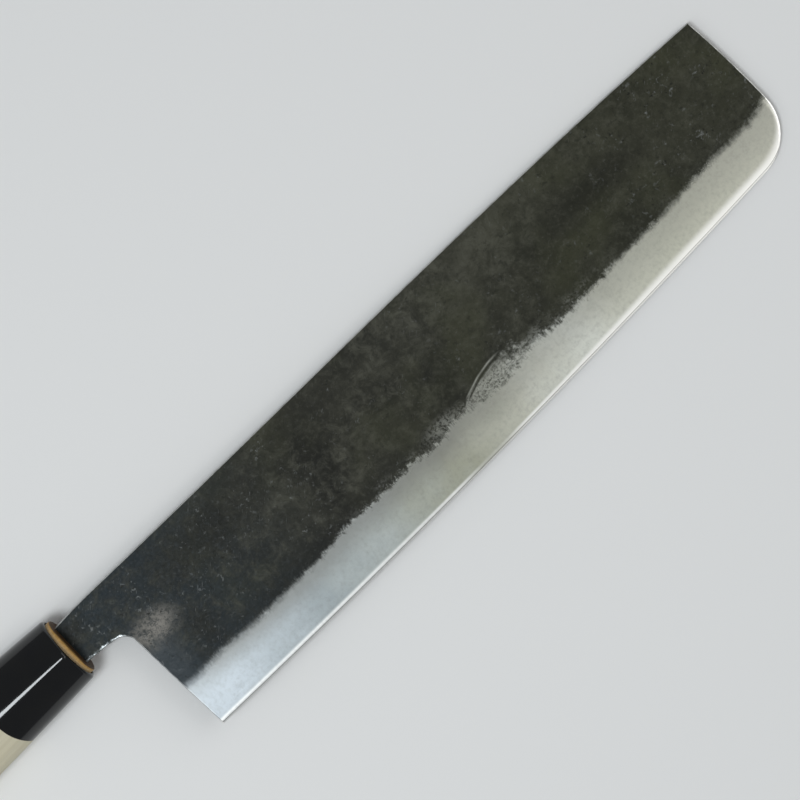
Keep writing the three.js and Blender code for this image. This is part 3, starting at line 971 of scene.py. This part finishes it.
def steel_surface(finish, x):
    """Colour, roughness and scratches of steel, ground across the blade and honed along its edge, with
    painted reflections in its tints, painted shade by the shoulder line and a painted highlight on the
    honed edge.
    """
    cloud = finish.grain(16, detail=4)
    haze = finish.grain(1.3, detail=5, roughness=0.7)
    scratches = finish.grain((0.14, 3, 1), detail=4, roughness=0.65)
    drift = finish.plus(finish.math("DIVIDE", x, BLADE_LENGTH), finish.swing(cloud, 0.16))
    # Painted reflections: the steel's tints along the blade stand in for the lights it reflects
    tone = finish.ramp(drift, STEEL_AND_REFLECTIONS_ALONG)
    # Painted shade: the bevel is darker next to the shoulder line, less so at the heel and towards the
    # front
    under_line = finish.band(finish.mark("ground"), 0.8, 0.05)
    by_shoulder = finish.times(under_line, finish.band(x, 100, 135, 0.75, 0.4))
    shade = finish.times(by_shoulder, finish.band(x, 0, 14, 0.55, 1.0))
    shaded = finish.mix(shade, tone, DULL_STEEL_AND_SHADE)
    hazed = finish.mix(finish.band(haze, 0.4, 0.75, 0.0, 0.3), shaded, DULL_STEEL_AND_SHADE)
    scratched = finish.mix(finish.band(scratches, 0.55, 0.72, 0.0, 0.22), hazed, DULL_STEEL_AND_SHADE)

    edge = finish.mark("edge")
    # Painted highlight on the honed steel: a white band along the edge, wider by the heel and the tip,
    # fainter near the middle
    width = finish.plus(finish.band(x, 60, 110, 2.1, 1.8), finish.band(x, 130, 195, 0.0, 1.7))
    fainter_by_middle = finish.band(finish.peak(x, 111, 18), 0.0, 1.0, 1.0, 0.25)
    polish_and_highlight = finish.times(finish.band(edge, width, 1.0), fainter_by_middle)
    honed_and_highlighted = finish.mix(finish.times(polish_and_highlight, 0.9), scratched, HONED_STEEL_AND_HIGHLIGHT)
    lined = finish.mix(finish.times(finish.peak(edge, *HONE_LINE), 0.85), honed_and_highlighted, DULL_STEEL_AND_SHADE)
    # Painted highlight: the micro-bevel is painted white
    colour = finish.mix(finish.band(edge, 0.42, 0.3), lined, HONED_STEEL_AND_HIGHLIGHT)
    rough = finish.band(scratches, 0.3, 0.7, 0.28, 0.36)
    return colour, rough, scratches


def scale_colour(finish, x, depth):
    """Black forge scale: blotched and mottled, with a painted bluish sheen towards the neck and heel,
    darker just above the shoulder line, and with painted shade on the neck by the ferrule.
    """
    blotch = finish.grain(24, detail=5, roughness=0.6, distortion=0.6)
    mottle = finish.grain(5, detail=6, roughness=0.72, distortion=0.5, shift=(31, 8, 0))
    freckle = finish.grain(1.6, detail=4, roughness=0.7, distortion=0.3, shift=(7, 45, 0))
    tint = finish.grain(26, shift=(90, 40, 0))
    ashen = finish.mix(finish.band(blotch, 0.34, 0.66), BLACK_SCALE_AND_SHADE, ASH)
    mottling = finish.times(finish.band(mottle, 0.42, 0.82, 0.0, 0.9), finish.band(x, 90, 150, 1.0, 0.8))
    mottled = finish.mix(mottling, ashen, PALE_ASH)
    by_spine = finish.times(finish.band(finish.along("Y"), 30, 50), finish.peak(x, 145, 75))
    ash = finish.times(by_spine, finish.band(mottle, 0.3, 0.7, 0.15, 0.6))
    paler = finish.mix(ash, mottled, PALE_ASH)
    olive = finish.plus(finish.band(tint, 0.45, 0.7, 0.0, 0.5), finish.band(x, 110, 190, 0.0, 0.3))
    tinted = finish.mix(olive, paler, OLIVE_SCALE)
    # Darker just above the shoulder line, most towards the heel
    by_shoulder = finish.times(finish.band(depth, -0.7, -0.2), finish.band(x, 105, 60, 0.2, 0.75))
    darkened_by_shoulder = finish.mix(by_shoulder, tinted, BLACK_SCALE_AND_SHADE)
    # Painted sheen: a bluish tint towards the neck
    towards_neck = finish.times(finish.band(x, 72, 0), finish.band(mottle, 0.7, 0.35, 0.35, 0.9))
    blue_sheened = finish.mix(towards_neck, darkened_by_shoulder, BLUE_SHEEN_SCALE)
    # Darker spots of scale; the one on the neck by the ferrule is painted shade
    black = reduce(finish.most, [finish.within(*spot) for spot in DARK_SPOTS_AND_FERRULE_SHADE])
    blackened = finish.mix(finish.times(black, 0.6), blue_sheened, BLACK_SCALE_AND_SHADE)
    # Painted sheen: paler and bluish by the heel corner
    by_heel = finish.times(finish.band(x, 11, 1), finish.band(finish.along("Y"), 36, 27))
    heel_sheen = finish.times(by_heel, finish.band(mottle, 0.3, 0.65, 0.5, 0.9))
    sheened_by_heel = finish.mix(heel_sheen, blackened, PALE_BLUE_SHEEN)
    freckles = finish.mix(finish.band(x, 80, 25), PALE_ASH, PALE_BLUE_SHEEN)
    freckled = finish.mix(finish.band(freckle, 0.5, 0.76, 0.0, 0.34), sheened_by_heel, freckles)
    return finish.mix(finish.band(freckle, 0.47, 0.28, 0.0, 0.5), freckled, BLACK_SCALE_AND_SHADE)


def scale_surface(finish, x, depth):
    """Colour, roughness and crust of forge scale that has been rubbed and chipped here and there."""
    crust = finish.grain(0.9, detail=6, roughness=0.72)
    specks = finish.grain(1.1, detail=6, roughness=0.8, distortion=0.3, shift=(0, 11, 0))
    patches = finish.grain(5, detail=4, roughness=0.62, distortion=0.4, shift=(14, 3, 0))
    spot = finish.times(finish.within(*RUBBED_SPOT), finish.band(patches, 0.36, 0.6, 0.35, 1.0))
    rubbing = finish.times(spot, finish.band(specks, 0.37, 0.57, 0.15, 1.0))
    rubbed = finish.mix(rubbing, scale_colour(finish, x, depth), RUBBED_SCALE)

    chips = finish.grain(1.4, roughness=0.62, distortion=0.15, shift=(3, 60, 0))
    pits = finish.grain(1.6, roughness=0.6, distortion=0.15, shift=(40, 12, 0))
    swarms = finish.grain(9, detail=4, roughness=0.6, shift=(17, 71, 5))
    by_ends = finish.most(finish.band(x, 105, 65, 0.45, 1.0), finish.band(x, 185, 215, 0.45, 1.0))
    trail = finish.within(*RUBBED_TRAIL)
    gathered = finish.most(finish.band(swarms, 0.46, 0.66, 0.1, 1.0), finish.times(trail, 0.5))
    swarm = finish.times(gathered, by_ends)
    pitting = finish.times(finish.band(pits, 0.6, 0.7), finish.band(swarm, 0.0, 0.7, 0.3, 0.85))
    pitted = finish.mix(pitting, rubbed, BLACK_SCALE_AND_SHADE)
    faint = finish.band(chips, 0.59, 0.69, 0.0, 0.26)
    bright = finish.band(chips, 0.71, 0.76, 0.0, 0.5)
    strokes = finish.grain((2.4, 0.22, 1), detail=2, roughness=0.5, shift=(5, 0, 0), turn=HAIRS_TURN)
    hairs = finish.band(strokes, 0.66, 0.76, 0.0, 0.4)
    bared = finish.times(finish.most(finish.plus(faint, bright), hairs), swarm)
    colour = finish.mix(bared, pitted, BARED_SPECK)
    rough = finish.band(crust, 0.25, 0.75, 0.4, 0.6)
    return colour, rough, crust


def stone_share(finish, x, depth):
    """How far the stone has cut through the scale: a soft line by the heel, fine hairs farther on."""
    hairs = finish.grain((0.17, 1.7, 2), detail=2, roughness=0.5)
    lumps = finish.grain(1.8, roughness=0.6, shift=(0, 23, 0))
    speckle = finish.grain(0.4, detail=2, roughness=0.5, shift=(9, 0, 0))
    patches = finish.grain(6, detail=2, roughness=0.5, shift=(2, 0, 33))
    specked = finish.band(patches, 0.45, 0.65, 0.06, 0.3)
    combed = finish.times(finish.swing(hairs, 0.26), finish.band(x, 135, 185, 1.0, 0.35))
    ragged = finish.plus(combed, finish.swing(lumps, 0.34))
    rough = finish.plus(ragged, finish.times(finish.swing(speckle, 1.0), specked))
    strength = finish.times(finish.band(x, 20, 95, 0.45, 1.0), finish.band(x, 150, 195, 1.0, 0.45))
    reached = finish.plus(depth, finish.times(rough, strength))
    softness = finish.plus(finish.band(x, 5, 70, 0.1, 0.0), 0.075)
    cut = finish.band(reached, finish.times(softness, -1.0), softness)

    smears = finish.grain((7, 4, 4), roughness=0.6, shift=(20, 8, 0))
    dots = finish.grain(0.8, roughness=0.65, distortion=0.3, shift=(6, 16, 0))
    thinned = finish.times(finish.band(depth, -0.34, -0.02), finish.band(smears, 0.44, 0.62, 0.1, 1.0))
    by_middle = finish.times(finish.band(x, 60, 88, 0.0, 0.42), finish.band(x, 150, 180, 1.0, 0.12))
    worn = finish.times(finish.within(*THINNED_SPOT), 0.5)
    halo = finish.most(finish.times(thinned, by_middle), worn)
    return finish.most(cut, finish.times(finish.band(dots, 0.36, 0.58), halo))


def brushed_share(finish, x, depth):
    """How far the stone has cut where it only brushed the scale, above the middle of the shoulder line."""
    under_top = finish.mark("brushed")
    lumps = finish.grain(2.2, detail=4, roughness=0.65, shift=(51, 2, 0))
    spots = finish.grain(1.0, detail=4, roughness=0.7, distortion=0.8, shift=(4, 0, 7))
    pits = finish.grain(0.62, detail=2, roughness=0.5, distortion=0.5, shift=(13, 5, 0))
    fraying = finish.times(finish.swing(lumps, 11), finish.band(x, 121, 135, 0.12, 1.0))
    fading = finish.band(x, 117, 129, 0.7, 4.3)
    on_spot = finish.band(finish.plus(under_top, fraying), 0.0, fading)
    lightness = finish.band(spots, 0.32, 0.58, 0.42, 0.85)
    mottled = finish.times(lightness, finish.band(pits, 0.64, 0.54, 0.35, 1.0))
    by_stone = finish.times(finish.band(depth, -0.24, -0.05), finish.band(spots, 0.58, 0.44))
    patch = finish.times(finish.times(on_spot, mottled), finish.band(by_stone, 0.0, 1.0, 1.0, 0.7))

    upper = finish.peak(under_top, *UPPER_LINE)
    lower = finish.peak(under_top, *LOWER_LINE)
    groove = finish.times(finish.peak(under_top, *GROOVE), 0.85)
    by_lines = finish.times(finish.band(x, 115, 118), finish.band(x, 134, 127))
    lines = finish.times(finish.most(upper, lower), finish.band(lumps, 0.3, 0.65, 0.35, 0.75))
    grooved = finish.times(patch, finish.band(finish.times(groove, by_lines), 0.0, 1.0, 1.0, 0.0))
    return finish.most(grooved, finish.times(lines, by_lines))


def filed_share(finish):
    """How far the rims are bared: file marks under the neck, a faint rubbing elsewhere, and even walls."""
    nicks = finish.grain(1.1, detail=4, roughness=0.7, shift=(0, 0, 40))
    strokes = finish.grain(3.4, detail=2, roughness=0.5, shift=(0, 0, 70))
    rim = finish.mark("rim")
    to_marks = finish.plus(rim, finish.swing(nicks, 1.6))
    marks = finish.times(finish.band(to_marks, 0.9, 0.3), finish.band(strokes, 0.36, 0.52, 0.15, 1.0))
    to_rim = finish.plus(rim, finish.swing(nicks, 0.2))
    rubbing = finish.times(finish.band(to_rim, 0.38, 0.2), finish.band(strokes, 0.35, 0.6, 0.45, 0.9))
    on_face = finish.blend(finish.mark("filed"), rubbing, marks)
    on_wall = finish.band(nicks, 0.3, 0.7, 0.4, 0.55)
    return finish.blend(finish.band(rim, 0.03, 0.0), on_face, on_wall)


def bared_share(finish, x, depth):
    """Where the stone or a file has bared the iron, from 0 to 1."""
    stone = finish.most(stone_share(finish, x, depth), brushed_share(finish, x, depth))
    return finish.most(stone, filed_share(finish))


def cladding_material():
    """Soft iron: black from the forge, bright where the stone or a file has bared it, and polished with a
    painted highlight along its eased rims, most along the spine.
    """
    finish = Finish("clad_iron")
    x = finish.along()
    depth = finish.mark("ground")
    bare = bared_share(finish, x, depth)
    steel, steel_rough, scratches = steel_surface(finish, x)
    scale, scale_rough, crust = scale_surface(finish, x, depth)
    height = finish.blend(bare, crust, finish.times(scratches, SCRATCH_SHARE))
    rim = finish.mark("rim")
    # Polished eased rims, painted lighter as a highlight, most along the spine
    eased = finish.times(finish.band(rim, 0.03, 0.1), finish.band(rim, 0.42, 0.3))
    by_spine = finish.band(finish.along("Y"), 44, 50, 0.3, 1.0)
    off_heel = finish.most(by_spine, finish.band(x, 2, 8, 0.3, 1.0))
    bared = finish.mix(finish.times(eased, off_heel), steel, HONED_STEEL_AND_HIGHLIGHT)
    finish.set(
        base_color=finish.mix(bare, scale, bared),
        metallic=bare,
        roughness=finish.blend(bare, scale_rough, steel_rough),
        normal=finish.bump(height, CRUST_DEPTH),
        specular_ior_level=0.12,
    )
    return finish.material


def core_material():
    """Hard steel, bare all over."""
    finish = Finish("core_steel")
    steel, rough, scratches = steel_surface(finish, finish.along())
    relief = finish.bump(scratches, SCRATCH_DEPTH)
    finish.set(base_color=steel, metallic=1.0, roughness=rough, normal=relief)
    return finish.material


def wood_material():
    """Pale magnolia with fine straight grain, golden at the end that takes the blade, and darker on that
    end's face round the slot.
    """
    finish = Finish("handle_wood")
    streaks = finish.grain((55, 1.1, 1.1), detail=5, roughness=0.6, distortion=0.4)
    fibres = finish.grain((11, 0.22, 0.22), detail=4, roughness=0.7)
    cloud = finish.grain((50, 9, 9), detail=2)
    rings = finish.band(finish.rings(RING_SPACING, PITH, RING_WAVER), 0.4, 1.0)
    seen_rings = finish.times(rings, finish.band(cloud, 0.3, 0.65, 0.15, 0.7))
    ringed = finish.mix(seen_rings, WOOD, WOOD_RING)
    streaked = finish.mix(finish.band(streaks, 0.4, 0.72, 0.0, 0.55), ringed, WOOD_STREAK)
    clouded = finish.mix(finish.band(cloud, 0.35, 0.7, 0.0, 0.45), streaked, WOOD_CLOUD)
    pored = finish.mix(finish.band(fibres, 0.6, 0.76, 0.0, 0.35), clouded, WOOD_PORE)
    end_mottle = finish.grain(0.8, detail=4, roughness=0.65)
    golden = finish.mix(finish.band(end_mottle, 0.3, 0.7), GOLDEN_WOOD, BROWNED_WOOD)
    toasted = finish.mix(finish.mark("toasted"), pored, golden)
    # Darker on the end face round the slot
    end_darkening = finish.times(finish.mark("darker_end"), finish.band(end_mottle, 0.1, 0.5, 0.75, 1.0))
    finish.set(
        base_color=finish.mix(end_darkening, toasted, DARK_END_WOOD),
        roughness=finish.band(fibres, 0.3, 0.75, 0.5, 0.68),
        normal=finish.bump(fibres, FIBRE_DEPTH),
        specular_ior_level=0.35,
    )
    return finish.material


def ferrule_material():
    """Glossy black plastic with faint rubbing marks."""
    finish = Finish("ferrule_black")
    rubs = finish.grain((5, 0.42, 0.42), detail=4, roughness=0.7)
    cloud = finish.grain(7)
    finish.set(
        base_color=finish.mix(cloud, BLUISH_BLACK, WARM_BLACK),
        roughness=finish.band(rubs, 0.35, 0.75, 0.06, 0.15),
        normal=finish.bump(rubs, RUB_DEPTH),
    )
    return finish.material


# Studio


# In metres
FLOOR_SIZE = 6.0
ROOM_COLOUR = (0.93, 0.96, 1, 1)
ROOM_STRENGTH = 0.22
# Soft lights: name, place and aim along the knife, width and height in metres, watts and colour
SOFTBOXES = (
    ("lamp", (-290, 40, 1000), (0, 40, 0), (0.25, 0.34), 4.3, (0.92, 0.97, 1)),
    ("panel", (665, -330, 1200), (665, 20, 0), (0.95, 0.54), 1.75, (1, 0.99, 0.96)),
    ("left_fill", (-800, 30, 850), (0, 30, 0), (0.8, 0.8), 1.8, (1, 1, 1)),
    ("right_fill", (1050, 30, 850), (200, 30, 0), (0.9, 0.9), 2.8, (1, 1, 1)),
)
# The camera looks straight down on the blade's right face, turned to the photo's slant
CAMERA_PLACE = Vector((102.08, 32.93, 600))
CAMERA_HALF_VIEW = 116.56
CAMERA_TURN = math.radians(-43.55)
SENSOR_WIDTH = 36


def add_floor():
    mesh = bpy.data.meshes.new("floor")
    half = FLOOR_SIZE / 2
    corners = [(-half, -half, 0), (half, -half, 0), (half, half, 0), (-half, half, 0)]
    mesh.from_pydata(corners, [], [range(4)])
    finish = Finish("floor")
    finish.set(base_color=FLOOR_WHITE, roughness=0.85, specular_ior_level=0.2)
    mesh.materials.append(finish.material)
    floor = bpy.data.objects.new("floor", mesh)
    bpy.context.scene.collection.objects.link(floor)


def add_softbox(name, place, aim, size, power, colour):
    """A rectangular soft light at a place, aimed at another, both in millimetres along the knife."""
    lamp = bpy.data.lights.new(name, "AREA")
    lamp.shape = "RECTANGLE"
    lamp.size, lamp.size_y = size
    lamp.energy = power
    lamp.color = colour
    light = bpy.data.objects.new(name, lamp)
    light.location = resting @ Vector(place)
    light.rotation_euler = (resting @ Vector(aim) - light.location).to_track_quat("-Z", "Y").to_euler()
    bpy.context.scene.collection.objects.link(light)


def add_lights():
    world = bpy.data.worlds.new("studio")
    world.use_nodes = True
    background = world.node_tree.nodes["Background"]
    background.inputs["Color"].default_value = ROOM_COLOUR
    background.inputs["Strength"].default_value = ROOM_STRENGTH
    bpy.context.scene.world = world
    for softbox in SOFTBOXES:
        add_softbox(*softbox)


def add_camera():
    lens = bpy.data.cameras.new("camera")
    lens.sensor_width = SENSOR_WIDTH
    lens.lens = lens.sensor_width / 2 * CAMERA_PLACE.z / CAMERA_HALF_VIEW
    camera = bpy.data.objects.new("camera", lens)
    turn = resting.to_3x3().normalized().to_4x4() @ Matrix.Rotation(CAMERA_TURN, 4, "Z")
    camera.matrix_world = Matrix.Translation(resting @ CAMERA_PLACE) @ turn
    bpy.context.scene.collection.objects.link(camera)
    bpy.context.scene.camera = camera


add_blade()
add_ferrule()
add_handle()
add_floor()
add_lights()
add_camera()
bpy.context.scene.view_settings.view_transform = "Standard"
